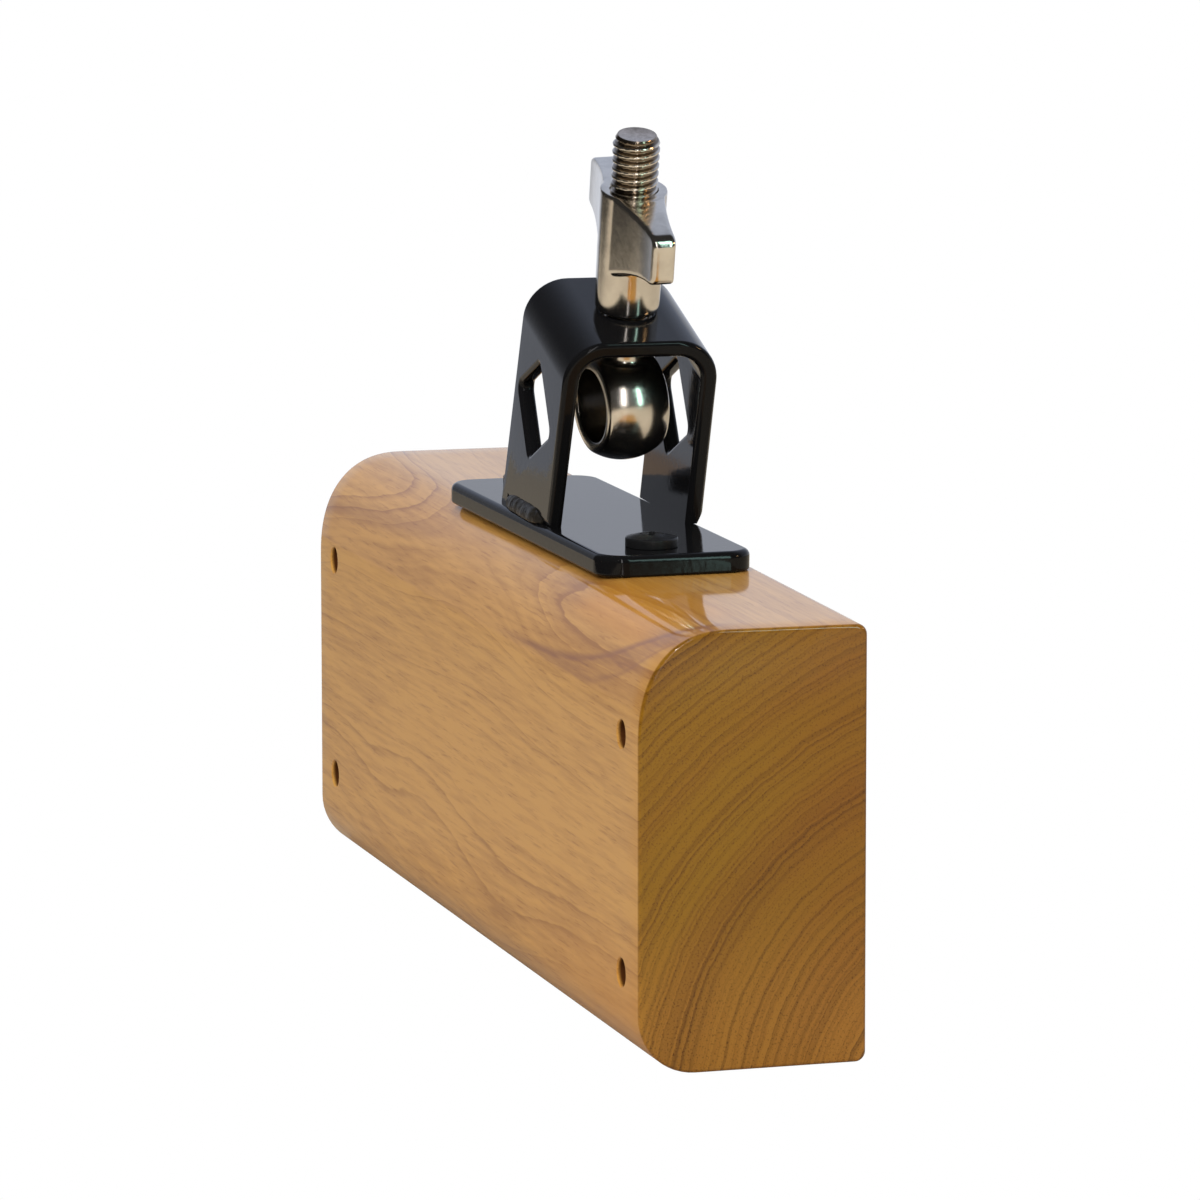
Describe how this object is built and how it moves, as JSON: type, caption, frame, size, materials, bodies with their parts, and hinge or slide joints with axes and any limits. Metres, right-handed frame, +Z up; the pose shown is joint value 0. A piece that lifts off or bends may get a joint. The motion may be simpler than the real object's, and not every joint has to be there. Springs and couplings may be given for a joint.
{
  "type": "woodblock",
  "caption": "Hollowed hardwood percussion block with a tilted steel rod clamp on its top edge, closed by an eye bolt and a wing nut.",
  "frame": {"origin": "middle of the bounding box, at the lower edge of the block", "axes": "+Z up, +X along the block towards its near end, where the bracket leans; the playing face looks to -Y"},
  "size_m": [0.194, 0.0382, 0.1423],
  "materials": {
    "lacquered_wood": "hardwood under a glossy clear lacquer",
    "black_paint": "glossy black paint",
    "black_steel": "black screws",
    "nickel": "polished nickel plate"
  },
  "bodies": {
    "block": {"wood_body": "lacquered_wood", "base_plate": "black_paint", "clamp_bracket": "black_paint", "front_bead": "black_paint", "back_bead": "black_paint", "plate_screws": "black_steel"},
    "bolt": {"eye_bolt": "nickel"},
    "nut": {"wing_nut": "nickel"}
  },
  "joints": [
    {"name": "nut_spin", "type": "hinge", "parent": "block", "child": "nut", "pos_m": [0.01059, 0.00547, 0.11104], "axis": [0.2661, -0.0237, 0.9636], "range_deg": [-1260, 1980]},
    {"name": "eye_lift", "type": "slide", "parent": "block", "child": "bolt", "axis": [0.2661, -0.0237, 0.9636], "range_m": [-0.00776, 0.00493]}
  ],
  "couplings": [
    {"joint": "nut_spin", "follows": "eye_lift", "rad_per_m": -4452.7}
  ]
}
